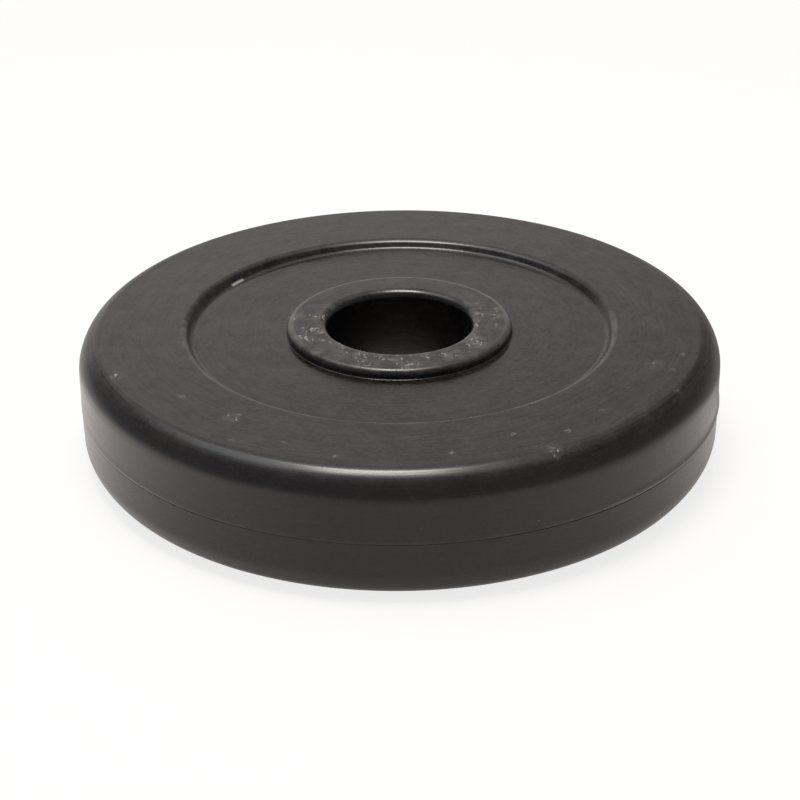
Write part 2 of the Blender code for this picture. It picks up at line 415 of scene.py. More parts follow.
def rounding_reach(corners, index):
    """Return how far along its edges the rounding of that corner reaches."""
    here = place_of(corners[index])
    to_last = place_of(corners[index - 1]) - here
    to_next = place_of(corners[(index + 1) % len(corners)]) - here
    return corners[index][2] / math.tan(to_last.angle(to_next) / 2.0)


def with_holding_points(corners):
    """Return the places of all corners, with holding points on the edges that stay straight for a while."""
    places = []
    for index, corner in enumerate(corners):
        following = corners[(index + 1) % len(corners)]
        here, there = place_of(corner), place_of(following)
        start = rounding_reach(corners, index)
        end = (there - here).length - rounding_reach(corners, (index + 1) % len(corners))
        places.append(here)
        if end - start > 4.0 * HOLDING:
            holding = [(corner, start + HOLDING), (following, end - HOLDING)]
            along = (there - here).normalized()
            places.extend(here + along * distance for rounded, distance in holding if rounded[2] > 0.0)
    return places


def draw_outline(name, corners, closed=True):
    """Draw an outline through the corners, given as radius, height, rounding and segments."""
    nothing_selected()
    bpy.ops.mesh.primitive_plane_add(size=0.001)
    piece = bpy.context.object
    piece.name = name
    piece.data.name = name
    edit(piece)
    bpy.ops.mesh.select_all(action="SELECT")
    bpy.ops.mesh.merge(type="CENTER")
    places = with_holding_points(corners)
    if not closed:
        places = places[: places.index(place_of(corners[-1])) + 1]
    bpy.ops.transform.translate(value=places[0])
    for here, there in zip(places, places[1:]):
        bpy.ops.mesh.extrude_region_move(TRANSFORM_OT_translate={"value": there - here})
    if closed:
        ends = (places[0], places[-1])
        select_where(piece, lambda spot: any((spot - end).length < TINY for end in ends))
        bpy.ops.mesh.edge_face_add()
    for index, corner in enumerate(corners):
        if corner[2] > 0.0:
            select_where(piece, lambda spot: (spot - place_of(corner)).length < TINY)
            bpy.ops.mesh.bevel(
                offset=rounding_reach(corners, index),
                affect="VERTICES",
                segments=corner[3],
                profile=0.5,
                clamp_overlap=False,
            )
    return piece


def spin_round(piece, steps):
    """Spin the outline once round the plate's axis, and close and turn out the surface that it leaves."""
    bpy.ops.mesh.select_all(action="SELECT")
    bpy.ops.mesh.spin(steps=steps, angle=math.tau, center=(0, 0, 0), axis=(0, 0, 1), use_auto_merge=True)
    bpy.ops.mesh.select_all(action="SELECT")
    bpy.ops.mesh.remove_doubles(threshold=TINY)
    bpy.ops.mesh.normals_make_consistent(inside=False)
    nothing_selected()
    piece.select_set(True)
    bpy.ops.object.shade_smooth_by_angle(angle=math.radians(30.0))
    print(piece.name, "has", len(piece.data.vertices), "vertices and", len(piece.data.polygons), "faces")
    return piece


# %% [markdown]
# The casing's dimensions
#
# The two shells share one face: a raised collar round the bore, a flat recessed web, a short slope up to the
# rim, and a shoulder that turns down to the side wall, first tightly and then in a large rounding. The walls
# lean half a degree, because a moulded part has to slip out of its mould. The inside follows the outside at
# the wall's thickness, which is why its roundings are tighter by just that much.

# %% The face that both shells share
PLATE_RADIUS = 0.0672
BORE_RADIUS = 0.0150
COLLAR_HEIGHT = 0.01355
RIM_HEIGHT = 0.0132
WEB_HEIGHT = 0.0114
COLLAR_RADIUS = 0.0237
STEP_FOOT_RADIUS = 0.0436
STEP_CREST_RADIUS = 0.0449
WALL = 0.0025
DRAFT = math.radians(0.5)
RIM_EDGE_RADIUS = 0.0632
RIM_EDGE_ROUNDING = 0.0023
SHOULDER_SLOPE = math.radians(33.0)
SHOULDER_ROUNDING = 0.0064
BORE_ROUNDING = 0.0018
COLLAR_ROUNDING = 0.0014
COLLAR_FOOT_ROUNDING = 0.0002
STEP_FOOT_ROUNDING = 0.0012
STEP_CREST_ROUNDING = 0.0017


def shoulder():
    """Return the place where the slope down from the rim's edge meets the leaning side wall."""
    fall, lean = math.tan(SHOULDER_SLOPE), math.tan(DRAFT)
    height = (RIM_HEIGHT - (PLATE_RADIUS - RIM_EDGE_RADIUS) * fall) / (1.0 - fall * lean)
    return PLATE_RADIUS - height * lean, height


outer_face = [
    (BORE_RADIUS + COLLAR_HEIGHT * math.tan(DRAFT), COLLAR_HEIGHT, BORE_ROUNDING, 10),
    (COLLAR_RADIUS, COLLAR_HEIGHT, COLLAR_ROUNDING, 10),
    (COLLAR_RADIUS, WEB_HEIGHT, COLLAR_FOOT_ROUNDING, 4),
    (STEP_FOOT_RADIUS, WEB_HEIGHT, STEP_FOOT_ROUNDING, 10),
    (STEP_CREST_RADIUS, RIM_HEIGHT, STEP_CREST_ROUNDING, 12),
    (RIM_EDGE_RADIUS, RIM_HEIGHT, RIM_EDGE_ROUNDING, 12),
    (*shoulder(), SHOULDER_ROUNDING, 16),
]


def wall_behind(corners, first, last, wall):
    """Return the corners of the inside of a wall, which lies that far to the right of its outside."""
    around = [first] + [(corner[0], corner[1]) for corner in corners] + [last]
    inside = []
    for index, corner in enumerate(corners):
        here = Vector(around[index + 1][:2])
        arriving = (here - Vector(around[index][:2])).normalized()
        leaving = (Vector(around[index + 2][:2]) - here).normalized()
        rights = Vector((arriving.y, -arriving.x)), Vector((leaving.y, -leaving.x))
        moved = here + (rights[0] + rights[1]) / (1.0 + rights[0].dot(rights[1])) * wall
        inside.append((moved.x, moved.y, max(corner[2] - wall, 0.0), max(corner[3] // 2, 2)))
    return inside


inner_face = wall_behind(outer_face, (BORE_RADIUS, 0.0), (PLATE_RADIUS, 0.0), WALL)
print("outside:", [(round(1000 * c[0], 2), round(1000 * c[1], 2)) for c in outer_face])
print("inside:", [(round(1000 * c[0], 2), round(1000 * c[1], 2)) for c in inner_face])

# %% [markdown]
# The front casing
#
# The front shell is cut back on its inside edge, so that a tongue on the back shell can reach up behind it.
# The joint hides in that lap, and all that shows outside is a line a little below mid height. Just above the
# line the front shell swells into a low bead. It is drawn as a straight stretch with extra points, and
# after the spin a Cast modifier pulls those points out towards a wider cylinder. The pull is a vertex group,
# so that the bead can be proud on the right of the plate and nearly flush elsewhere, because two moulded
# halves never meet quite true.

# %% Draw and spin the front casing
AROUND = 288
SEAM = 0.00001
JOINT_HEIGHT = -0.0007
LAP_DEPTH = 0.00125
LAP_HEIGHT = 0.0020
LAP_CLEARANCE = 0.0003
LIP_PROUD = 0.00045
LIP_HEIGHT = 0.0022
LIP_POINTS = 23
LIP_PEAK = 0.22
LIP_AT_JOINT = 0.45
LIP_PROUDEST = math.radians(-28.0)
LIP_SECOND = math.radians(-135.0)
LIP_SECOND_SHARE = 0.35
LIP_LEAST = 0.15
LIP_WAVES = 0.16

front_joint = JOINT_HEIGHT + SEAM / 2.0
lip_points = [
    sharp(PLATE_RADIUS, front_joint + LIP_HEIGHT * (1.0 - step / (LIP_POINTS - 1)))
    for step in range(LIP_POINTS)
]
lap_top = JOINT_HEIGHT + LAP_HEIGHT
front_outline = (
    [sharp(BORE_RADIUS, front_joint)]
    + outer_face
    + lip_points
    + [
        sharp(PLATE_RADIUS - LAP_DEPTH, front_joint),
        sharp(PLATE_RADIUS - LAP_DEPTH, lap_top),
        sharp(PLATE_RADIUS - WALL, lap_top),
    ]
    + inner_face[::-1]
    + [
        sharp(BORE_RADIUS + WALL, lap_top),
        sharp(BORE_RADIUS + LAP_DEPTH, lap_top),
        sharp(BORE_RADIUS + LAP_DEPTH, front_joint),
    ]
)
front_casing = spin_round(draw_outline("front_casing", front_outline), AROUND)


def facing(angle, middle):
    """Return 1 at the middle angle, falling to 0 a quarter turn away from it."""
    return max(math.cos(angle - middle), 0.0)


def lip_pull(spot):
    """Return how far out the lip stands at that place, as a share of its full height."""
    up = (spot.z - front_joint) / LIP_HEIGHT
    if spot.xy.length < PLATE_RADIUS - TINY or not -TINY < up < 1.0:
        return 0.0
    if up > LIP_PEAK:
        bead = ((1.0 - up) / (1.0 - LIP_PEAK)) ** 2
    else:
        bead = 1.0 - (1.0 - LIP_AT_JOINT) * (1.0 - up / LIP_PEAK) ** 2
    angle = math.atan2(spot.y, spot.x)
    rise = max(facing(angle, LIP_PROUDEST) ** 10, LIP_SECOND_SHARE * facing(angle, LIP_SECOND) ** 12)
    proud = LIP_LEAST + (1.0 - LIP_LEAST) * rise
    waves = 1.0 + LIP_WAVES * noise.noise(Vector((6.0 * math.cos(angle), 6.0 * math.sin(angle), 0.0)))
    return bead * proud * waves / (1.0 + LIP_WAVES)


lip_group = front_casing.vertex_groups.new(name="lip")
for vertex in front_casing.data.vertices:
    pull = lip_pull(vertex.co)
    if pull > 0.0:
        lip_group.add([vertex.index], pull, "REPLACE")
bead_cast = front_casing.modifiers.new("lip", "CAST")
bead_cast.cast_type = "CYLINDER"
bead_cast.use_z = False
bead_cast.vertex_group = lip_group.name
bead_cast.factor = 1.0
bead_cast.use_radius_as_size = False
bead_cast.size = PLATE_RADIUS + LIP_PROUD
apply_modifier(front_casing, bead_cast)
reaches = [1000.0 * vertex.co.xy.length for vertex in front_casing.data.vertices]
print("the lip reaches", round(max(reaches), 3), "mm from the axis")

# %% [markdown]
# The back casing
#
# The back shell is the same face turned over. Its tongue stands up behind the front shell's edge. Turning an
# outline over reverses its direction, which doesn't matter here, because the normals are worked out
# again after the spin. The two halves nearly touch, and the joint gapes a little on the right and the left:
# there a Displace modifier lowers the edge of the back shell.

# %% Draw and spin the back casing
SEAM_CHAMFER = 0.00006
SEAM_OPENING = 0.00025
SECOND_OPENING = 0.6


def turned_over(corners):
    """Return the corners with their heights below the plate's middle."""
    return [(corner[0], -corner[1], corner[2], corner[3]) for corner in corners]


back_joint = JOINT_HEIGHT - SEAM / 2.0
tongue_inset = LAP_DEPTH + LAP_CLEARANCE
tongue_end = lap_top - LAP_CLEARANCE
back_outline = (
    [sharp(BORE_RADIUS, back_joint)]
    + turned_over(outer_face)
    + [
        sharp(PLATE_RADIUS, back_joint - SEAM_CHAMFER),
        sharp(PLATE_RADIUS - SEAM_CHAMFER, back_joint),
        sharp(PLATE_RADIUS - tongue_inset, back_joint),
        sharp(PLATE_RADIUS - tongue_inset, tongue_end),
        sharp(PLATE_RADIUS - WALL, tongue_end),
    ]
    + turned_over(inner_face)[::-1]
    + [
        sharp(BORE_RADIUS + WALL, tongue_end),
        sharp(BORE_RADIUS + tongue_inset, tongue_end),
        sharp(BORE_RADIUS + tongue_inset, back_joint),
    ]
)
back_casing = spin_round(draw_outline("back_casing", back_outline), AROUND)

gap_group = back_casing.vertex_groups.new(name="gap")
for vertex in back_casing.data.vertices:
    at_joint = abs(vertex.co.z - back_joint) < SEAM_CHAMFER + TINY
    if at_joint and vertex.co.xy.length > PLATE_RADIUS - SEAM_CHAMFER - TINY:
        angle = math.atan2(vertex.co.y, vertex.co.x)
        opening = max(facing(angle, LIP_PROUDEST) ** 3, SECOND_OPENING * facing(angle, LIP_SECOND) ** 12)
        gap_group.add([vertex.index], opening, "REPLACE")
seam_gap = back_casing.modifiers.new("gap", "DISPLACE")
seam_gap.direction = "Z"
seam_gap.mid_level = 0.0
seam_gap.strength = -SEAM_OPENING
seam_gap.vertex_group = gap_group.name
apply_modifier(back_casing, seam_gap)

# %% [markdown]
# The filling port
#
# Sand and cement were poured in through a round port in the web of the back shell. It is a hole with a wider
# shallow seat, so that the plug's flange lies level with the web. The tool that cuts it is drawn
# and spun like the shells, moved to its place, and taken away from the shell with a Boolean modifier. The
# tool's mouth flares a little, which leaves a small chamfer round the seat.

# %% Cut the port
PORT_DISTANCE = (COLLAR_RADIUS + STEP_FOOT_RADIUS) / 2.0
PORT_RADIUS = 0.0050
FLANGE_RADIUS = 0.0070
FLANGE_THICKNESS = 0.0010
FLANGE_SUNK = 0.0002
SEAT_GAP = 0.0002
MOUTH_FLARE = 0.0003
PLUG_STEPS = 96
TOOL_OVERSHOOT = 0.001

seat_radius = FLANGE_RADIUS + SEAT_GAP
seat_depth = FLANGE_SUNK + FLANGE_THICKNESS + SEAT_GAP
port_tool_outline = [
    sharp(0.0, WALL + TOOL_OVERSHOOT),
    sharp(PORT_RADIUS, WALL + TOOL_OVERSHOOT),
    sharp(PORT_RADIUS, seat_depth),
    sharp(seat_radius, seat_depth),
    sharp(seat_radius, MOUTH_FLARE),
    sharp(seat_radius + MOUTH_FLARE, 0.0),
    sharp(seat_radius + MOUTH_FLARE, -TOOL_OVERSHOOT),
    sharp(0.0, -TOOL_OVERSHOOT),
]


def move_in_mesh(piece, offset):
    """Move the piece's vertices and not its object, so that the object stays at the origin."""
    edit(piece)
    bpy.ops.mesh.select_all(action="SELECT")
    bpy.ops.transform.translate(value=offset)
    nothing_selected()


port_place = Vector((0.0, PORT_DISTANCE, -WEB_HEIGHT))
port_tool = spin_round(draw_outline("port_tool", port_tool_outline, closed=False), PLUG_STEPS)
move_in_mesh(port_tool, port_place)
port_cut = back_casing.modifiers.new("port", "BOOLEAN")
port_cut.operation = "DIFFERENCE"
port_cut.solver = "EXACT"
port_cut.object = port_tool
apply_modifier(back_casing, port_cut)
bpy.data.objects.remove(port_tool, do_unlink=True)
print("back casing with its port:", len(back_casing.data.polygons), "faces")

# %% [markdown]
# The plug
#
# The plug snaps into the port. Its flange is dished, with a small raised spot at its centre where the plastic
# entered the mould, and a barb on its hollow stem holds it behind the wall.

# %% Draw, spin and seat the plug
STEM_RADIUS = PORT_RADIUS - 0.0003
STEM_END = FLANGE_SUNK + FLANGE_THICKNESS + 0.0050
STEM_WALL = 0.0012
BARB_RADIUS = PORT_RADIUS + 0.0004
BARB_START = WALL + 0.0003
DISH_RADIUS = 0.0045
DISH_DEPTH = 0.0004
GATE_RADIUS = 0.0007

flange_end = FLANGE_SUNK + FLANGE_THICKNESS
plug_outline = [
    sharp(0.0, flange_end),
    sharp(STEM_RADIUS - STEM_WALL, flange_end),
    sharp(STEM_RADIUS - STEM_WALL, STEM_END),
    (STEM_RADIUS - 0.0003, STEM_END, 0.0002, 3),
    (BARB_RADIUS, BARB_START + 0.0008, 0.0002, 3),
    sharp(BARB_RADIUS, BARB_START),
    sharp(STEM_RADIUS, BARB_START),
    sharp(STEM_RADIUS, flange_end),
    sharp(FLANGE_RADIUS, flange_end),
    (FLANGE_RADIUS, FLANGE_SUNK, 0.0003, 5),
    (DISH_RADIUS, FLANGE_SUNK, 0.0002, 4),
    (DISH_RADIUS - DISH_DEPTH, FLANGE_SUNK + DISH_DEPTH, 0.0003, 4),
    (GATE_RADIUS, FLANGE_SUNK + DISH_DEPTH, 0.0001, 2),
    (GATE_RADIUS - 0.0002, FLANGE_SUNK + 0.5 * DISH_DEPTH, 0.0001, 2),
    sharp(0.0, FLANGE_SUNK + 0.5 * DISH_DEPTH),
]
plug = spin_round(draw_outline("port_plug", plug_outline, closed=False), PLUG_STEPS)
move_in_mesh(plug, port_place)

# %% [markdown]
# Effects that the finishes share
#
# A moulded plate has fine rings all over it. They are the marks of the lathe that cut the mould, and they
# follow the plate round whatever the face. A node group makes them from noise in round coordinates: the
# radius and the height add up to the distance travelled along the section, and the sine and cosine
# of the angle stand for the way round, because an angle alone would leave a seam where it starts again.

# %% Groups for round coordinates and lathe marks


def new_group(name, inputs, outputs):
    """Return a new shader node group, with number inputs (name: value) and number outputs."""
    group = bpy.data.node_groups.new(name, "ShaderNodeTree")
    for label, value in inputs.items():
        socket = group.interface.new_socket(label, in_out="INPUT", socket_type="NodeSocketFloat")
        socket.default_value = value
    for label in outputs:
        group.interface.new_socket(label, in_out="OUTPUT", socket_type="NodeSocketFloat")
    entry = group.nodes.new("NodeGroupInput")
    leaving = group.nodes.new("NodeGroupOutput")
    return group, entry, leaving


def use_group(tree, group, **values):
    """Place a node group in the tree and set its inputs by name."""
    node = tree.nodes.new("ShaderNodeGroup")
    node.node_tree = group
    for name, value in values.items():
        node.inputs[name.replace("_", " ")].default_value = value
    return node


def vector_of(tree, x, y, z):
    """Combine three sockets or numbers into a vector."""
    node = tree.nodes.new("ShaderNodeCombineXYZ")
    fill_inputs(tree, node, (x, y, z))
    return node.outputs["Vector"]


def noise_of(tree, vector, scale, detail=2.0, roughness=0.5):
    """Add a noise texture on the vector and return its value."""
    node = tree.nodes.new("ShaderNodeTexNoise")
    node.inputs["Scale"].default_value = scale
    node.inputs["Detail"].default_value = detail
    node.inputs["Roughness"].default_value = roughness
    tree.links.new(vector, node.inputs["Vector"])
    return node.outputs["Fac"]


round_coordinates, entry, leaving = new_group(
    "round coordinates", {}, ("Radius", "Cosine", "Sine", "Height", "Travelled")
)
tree = round_coordinates
spot = object_place(tree)
axes = axes_of(tree, spot)
squared = sums(tree, "ADD", product(tree, axes["X"], axes["X"]), product(tree, axes["Y"], axes["Y"]))
radius = sums(tree, "MAXIMUM", sums(tree, "SQRT", squared), 0.0001)
level = sums(tree, "ABSOLUTE", axes["Z"])
tree.links.new(radius, leaving.inputs["Radius"])
tree.links.new(sums(tree, "DIVIDE", axes["X"], radius), leaving.inputs["Cosine"])
tree.links.new(sums(tree, "DIVIDE", axes["Y"], radius), leaving.inputs["Sine"])
tree.links.new(axes["Z"], leaving.inputs["Height"])
tree.links.new(sums(tree, "SUBTRACT", radius, level), leaving.inputs["Travelled"])

lathe_marks, entry, leaving = new_group(
    "lathe marks", {"Rings per metre": 2600.0, "Length round": 3.5}, ("Mark", "Fine", "Mottle", "Face")
)
tree = lathe_marks
turning = use_group(tree, round_coordinates)
way_x = sums(tree, "MULTIPLY", turning.outputs["Cosine"], entry.outputs["Length round"])
way_y = sums(tree, "MULTIPLY", turning.outputs["Sine"], entry.outputs["Length round"])
across = sums(tree, "MULTIPLY", turning.outputs["Travelled"], entry.outputs["Rings per metre"])
broad = noise_of(tree, vector_of(tree, way_x, way_y, sums(tree, "MULTIPLY", across, 0.35)), 1.0, 3.0, 0.6)
fine = noise_of(tree, vector_of(tree, way_x, way_y, across), 1.0, 2.0, 0.7)
flow_x = sums(tree, "MULTIPLY", turning.outputs["Cosine"], 18.0)
flow_y = sums(tree, "MULTIPLY", turning.outputs["Sine"], 18.0)
mottle = noise_of(tree, vector_of(tree, flow_x, flow_y, sums(tree, "MULTIPLY", across, 0.42)), 1.0, 4.0, 0.65)
high = between(tree, sums(tree, "ABSOLUTE", turning.outputs["Height"]), 0.0100, 0.0128)
inner = between(tree, turning.outputs["Radius"], 0.0590, 0.0620, 1.0, 0.0)
face = sums(tree, "MAXIMUM", high, inner)
tree.links.new(broad, leaving.inputs["Mark"])
tree.links.new(fine, leaving.inputs["Fine"])
tree.links.new(mottle, leaving.inputs["Mottle"])
tree.links.new(face, leaving.inputs["Face"])
print("groups so far:", [group.name for group in bpy.data.node_groups])

# %% [markdown]
# Scuffs
#
# A plate is laid down, slid over and knocked against others, and each kind of mark that this leaves gets a
# mask from 0 to 1. The first kind is pale specks where the plate rubbed. They are the peaks of a noise, let
# through only in patches. Where the patches lie is drawn at random with a fixed seed, on the half of the
# face that is near the camera, and so are the places of the nicks and arcs in the next step. They are like
# this plate's marks in kind and only roughly in number, and they don't lie where the photograph has them.
# Besides that, the collar is worn in clouds all round, less on its far side.

# %% Group for scuffs
MARK_SEED = 7
NEAR_START = math.radians(-175.0)
NEAR_END = math.radians(-5.0)
COLLAR_MIDDLE = (BORE_RADIUS + COLLAR_RADIUS) / 2.0
WEB_MIDDLE = (COLLAR_RADIUS + STEP_FOOT_RADIUS) / 2.0
OUTER_RIM = (STEP_CREST_RADIUS + 2.0 * RIM_EDGE_RADIUS) / 3.0
COLLAR_SPREAD = 0.0025
WEB_SPREAD = 0.006
RIM_SPREAD = 0.007
FACE_STARTS = 0.0080
FACE_COMPLETE = 0.0100
COLLAR_SCUFFS = 6
RIM_SCUFFS = 4
SCUFF_REACH = 0.0025
FAR_WEAR = 0.30
SLANT = math.radians(38.0)
SLANT_STRETCH = 0.33
SPECK_STARTS = 0.80
SPECK_COMPLETE = 0.86
RUB_ON_COLLAR = 0.35


def scattered(draw, how_many, middle_radius, spread):
    """Draw radii and angles for marks, shared out over the near half of the face."""
    places = []
    for number in range(how_many):
        share = (number + draw.random()) / how_many
        radius = middle_radius + draw.uniform(-spread, spread)
        places.append((radius, NEAR_START + (NEAR_END - NEAR_START) * share))
    return places


def flattened(tree, vector):
    """Return the vector without its height, so that a mark is placed on the face like on a clock."""
    axes = axes_of(tree, vector)
    return vector_of(tree, axes["X"], axes["Y"], 0.0)


def distance_mask(tree, vector, radius, angle, reach, height=1.0):
    """Return a mask that has its full height at that place on the face and fades to 0 at the reach."""
    place = (radius * math.cos(angle), radius * math.sin(angle), 0.0)
    distance = vector_sums(tree, "DISTANCE", vector, place)["Value"]
    return between(tree, distance, 0.35 * reach, reach, height, 0.0)


scuff_group, entry, leaving = new_group("scuffs", {"Everywhere": 0.02, "In patches": 0.19}, ("Speck", "Rub"))
tree = scuff_group
spot = object_place(tree)
turning = use_group(tree, round_coordinates)
radius_here, height_here = turning.outputs["Radius"], turning.outputs["Height"]
draw = random.Random(MARK_SEED)
places = scattered(draw, COLLAR_SCUFFS, COLLAR_MIDDLE, COLLAR_SPREAD)
places += scattered(draw, RIM_SCUFFS, OUTER_RIM, RIM_SPREAD)
on_face = flattened(tree, spot)
patches = brightest(tree, [distance_mask(tree, on_face, *place, SCUFF_REACH) for place in places])
patches = product(tree, patches, between(tree, height_here, FACE_STARTS, FACE_COMPLETE))
on_collar = between(tree, height_here, COLLAR_HEIGHT - 0.0008, COLLAR_HEIGHT - 0.0003)
inside_collar = between(tree, radius_here, COLLAR_RADIUS - 0.0002, COLLAR_RADIUS, 1.0, 0.0)
near_half = between(tree, turning.outputs["Sine"], 0.10, 0.75, 1.0, FAR_WEAR)
clouds = between(tree, noise_of(tree, spot, 230.0, 2.0), 0.42, 0.66)
collar_wear = product(tree, on_collar, inside_collar, near_half)
patches = brightest(tree, [patches, product(tree, collar_wear, clouds)])
grain = noise_of(tree, spot, 1050.0, 3.0, 0.62)
stretched = tree.nodes.new("ShaderNodeMapping")
stretched.inputs["Rotation"].default_value = (0.0, 0.0, SLANT)
stretched.inputs["Scale"].default_value = (1.0, SLANT_STRETCH, 1.0)
tree.links.new(spot, stretched.inputs["Vector"])
slanted = noise_of(tree, stretched.outputs["Vector"], 1300.0, 2.0, 0.5)
patch_gain = product(tree, patches, entry.outputs["In patches"])
patch_gain = sums(tree, "ADD", patch_gain, entry.outputs["Everywhere"])
raised = sums(tree, "ADD", brightest(tree, [grain, slanted]), patch_gain)
smears = between(tree, noise_of(tree, spot, 420.0, 3.0), 0.40, 0.64)
rub = product(tree, layered(tree, patches, [(collar_wear, RUB_ON_COLLAR)]), smears)
tree.links.new(between(tree, raised, SPECK_STARTS, SPECK_COMPLETE), leaving.inputs["Speck"])
tree.links.new(rub, leaving.inputs["Rub"])
print("patches:", len(places))

# %% [markdown]
# Nicks, arcs and the streak
#
# A nick is a small pale dent, and a noise makes its outline ragged. An arc is a shallow dark groove, left by
# something that turned on the plate: a ring whose radius drifts a little and that fades at both ends. The
# streak is the one mark with a place of its own, a bright line at the step's foot: a small scrape with a
# painted glint on it.

# %% Group for nicks, arcs and the streak
COLLAR_NICKS = 12
RIM_NICKS = 14
NICK_REACH = 0.0008
FAINTEST_NICK = 0.06
PALEST_NICK = 0.26
RAGGED = 0.0014
WEB_ARCS = 4
RIM_ARCS = 9
ARC_HALF_WIDTH = 0.0002
SHORTEST_ARC = math.radians(3.0)
LONGEST_ARC = math.radians(16.0)
ARC_DRIFT = 0.0015
SHALLOWEST_ARC = 0.5
DEEPEST_ARC = 0.9
STREAK_ANGLE = math.radians(145.0)
STREAK_HALF_ANGLE = math.radians(3.0)
STREAK_CORE = 0.0001
STREAK_HALF_WIDTH = 0.0004


def arc_mask(tree, radius_here, angle_here, draw, radius, middle):
    """Return the mask of a thin arc round that place, with its length, drift and depth drawn at random."""
    half_angle = draw.uniform(SHORTEST_ARC, LONGEST_ARC) / 2.0
    drift = draw.uniform(-ARC_DRIFT, ARC_DRIFT) / (2.0 * half_angle)
    depth = draw.uniform(SHALLOWEST_ARC, DEEPEST_ARC)
    line_radius = sums(tree, "MULTIPLY_ADD", angle_here, drift, radius - drift * middle)
    line = between(tree, away_from(tree, radius_here, line_radius), 0.0, ARC_HALF_WIDTH, depth, 0.0)
    length = between(tree, away_from(tree, angle_here, middle), 0.6 * half_angle, half_angle, 1.0, 0.0)
    return product(tree, line, length)


mark_group, entry, leaving = new_group("nicks, scratches and glint", {}, ("Nick", "Glint streak", "Groove"))
tree = mark_group
spot = object_place(tree)
turning = use_group(tree, round_coordinates)
radius_here, height_here = turning.outputs["Radius"], turning.outputs["Height"]
angle_here = sums(tree, "ARCTAN2", turning.outputs["Sine"], turning.outputs["Cosine"])
ragged = tree.nodes.new("ShaderNodeTexNoise")
ragged.inputs["Scale"].default_value = 1700.0
ragged.inputs["Detail"].default_value = 1.0
tree.links.new(spot, ragged.inputs["Vector"])
centred = vector_sums(tree, "SUBTRACT", ragged.outputs["Color"], (0.5, 0.5, 0.5))["Vector"]
shifted = vector_sums(tree, "MULTIPLY_ADD", centred, (RAGGED, RAGGED, RAGGED), spot)["Vector"]
on_face = flattened(tree, shifted)
places = scattered(draw, COLLAR_NICKS, COLLAR_MIDDLE, COLLAR_SPREAD)
places += scattered(draw, RIM_NICKS, OUTER_RIM, RIM_SPREAD)
dents = []
for place in places:
    paleness = draw.uniform(FAINTEST_NICK, PALEST_NICK)
    dents.append(distance_mask(tree, on_face, *place, NICK_REACH, paleness))
broken = between(tree, noise_of(tree, spot, 2400.0, 1.0), 0.40, 0.56, 0.25, 1.0)
on_front = between(tree, height_here, FACE_STARTS, FACE_COMPLETE)
nicks = product(tree, brightest(tree, dents), on_front, broken)
arcs = scattered(draw, WEB_ARCS, WEB_MIDDLE, WEB_SPREAD)
arcs += scattered(draw, RIM_ARCS, OUTER_RIM, RIM_SPREAD)
lines = [arc_mask(tree, radius_here, angle_here, draw, *place) for place in arcs]
flat_of_face = between(tree, height_here, 0.0100, 0.0110)
worn_out = between(tree, noise_of(tree, spot, 500.0, 2.0), 0.36, 0.52, 0.35, 1.0)
# Partly painted highlight: the streak is a small scrape at the step's foot on the far left, painted as bright
# as a glint.
streak_ring = away_from(tree, radius_here, STEP_FOOT_RADIUS)
streak_ring = between(tree, streak_ring, STREAK_CORE, STREAK_HALF_WIDTH, 1.0, 0.0)
streak_way = away_from(tree, angle_here, STREAK_ANGLE)
streak_way = between(tree, streak_way, 0.7 * STREAK_HALF_ANGLE, STREAK_HALF_ANGLE, 1.0, 0.0)
tree.links.new(nicks, leaving.inputs["Nick"])
tree.links.new(product(tree, streak_ring, streak_way, flat_of_face), leaving.inputs["Glint streak"])
tree.links.new(product(tree, brightest(tree, lines), flat_of_face, worn_out), leaving.inputs["Groove"])
print("nicks:", len(places), "arcs:", len(arcs))

# %% [markdown]
# Hair scratches
#
# A hair scratch is the thin line along which a slow noise passes one value. Two such noises cross each
# other, and a third one keeps only some stretches of the lines.

# %% Group for hair scratches
HAIR_SHIFTS = ((0.31, 0.0, 0.0), (0.0, 0.47, 0.13))

hair_group, entry, leaving = new_group("hair scratches", {"Width": 0.004, "Scale": 42.0}, ("Hair",))
tree = hair_group
spot = object_place(tree)
hairs = []
for shift in HAIR_SHIFTS:
    moved = vector_sums(tree, "ADD", spot, shift)["Vector"]
    slow = tree.nodes.new("ShaderNodeTexNoise")
    slow.inputs["Detail"].default_value = 0.0
    tree.links.new(moved, slow.inputs["Vector"])
    tree.links.new(entry.outputs["Scale"], slow.inputs["Scale"])
    off_line = away_from(tree, slow.outputs["Fac"], 0.5)
    line = sums(tree, "SUBTRACT", 1.0, sums(tree, "DIVIDE", off_line, entry.outputs["Width"]))
    kept = between(tree, noise_of(tree, moved, 95.0), 0.56, 0.66)
    hairs.append(product(tree, sums(tree, "MAXIMUM", line, 0.0), kept))
tree.links.new(brightest(tree, hairs), leaving.inputs["Hair"])
print("hair noises:", len(hairs))

# %% [markdown]
# Wear, painted highlights and painted shade on edges and feet
#
# Wear and painted light follow this plate's own section. The crest of the step is worn pale. The collar's
# edge and the seam's lip get pale lines and patches that are painted highlight, where their roundings catch
# the light, and a pale line of painted highlight lies in the step's foot on the near left. The feet of the
# collar and the step are darkened with painted shade, and so is the inside of the bore. The collar's foot is
# smoother than the rest, and so is the step's on the far side. Each is a ring at one radius or one height,
# kept to the side of the plate where the photograph shows it.

# %% Group for wear, painted highlights and painted shade on edges and feet
# How strong the painted shade at the collar's foot is.
COLLAR_FOOT_SHADE = 0.20


def ring_mask(tree, value, middle, half_width):
    """Return a mask that is 1 where the value is at the middle and fades out over the half width."""
    return between(tree, away_from(tree, value, middle), 0.3 * half_width, half_width, 1.0, 0.0)


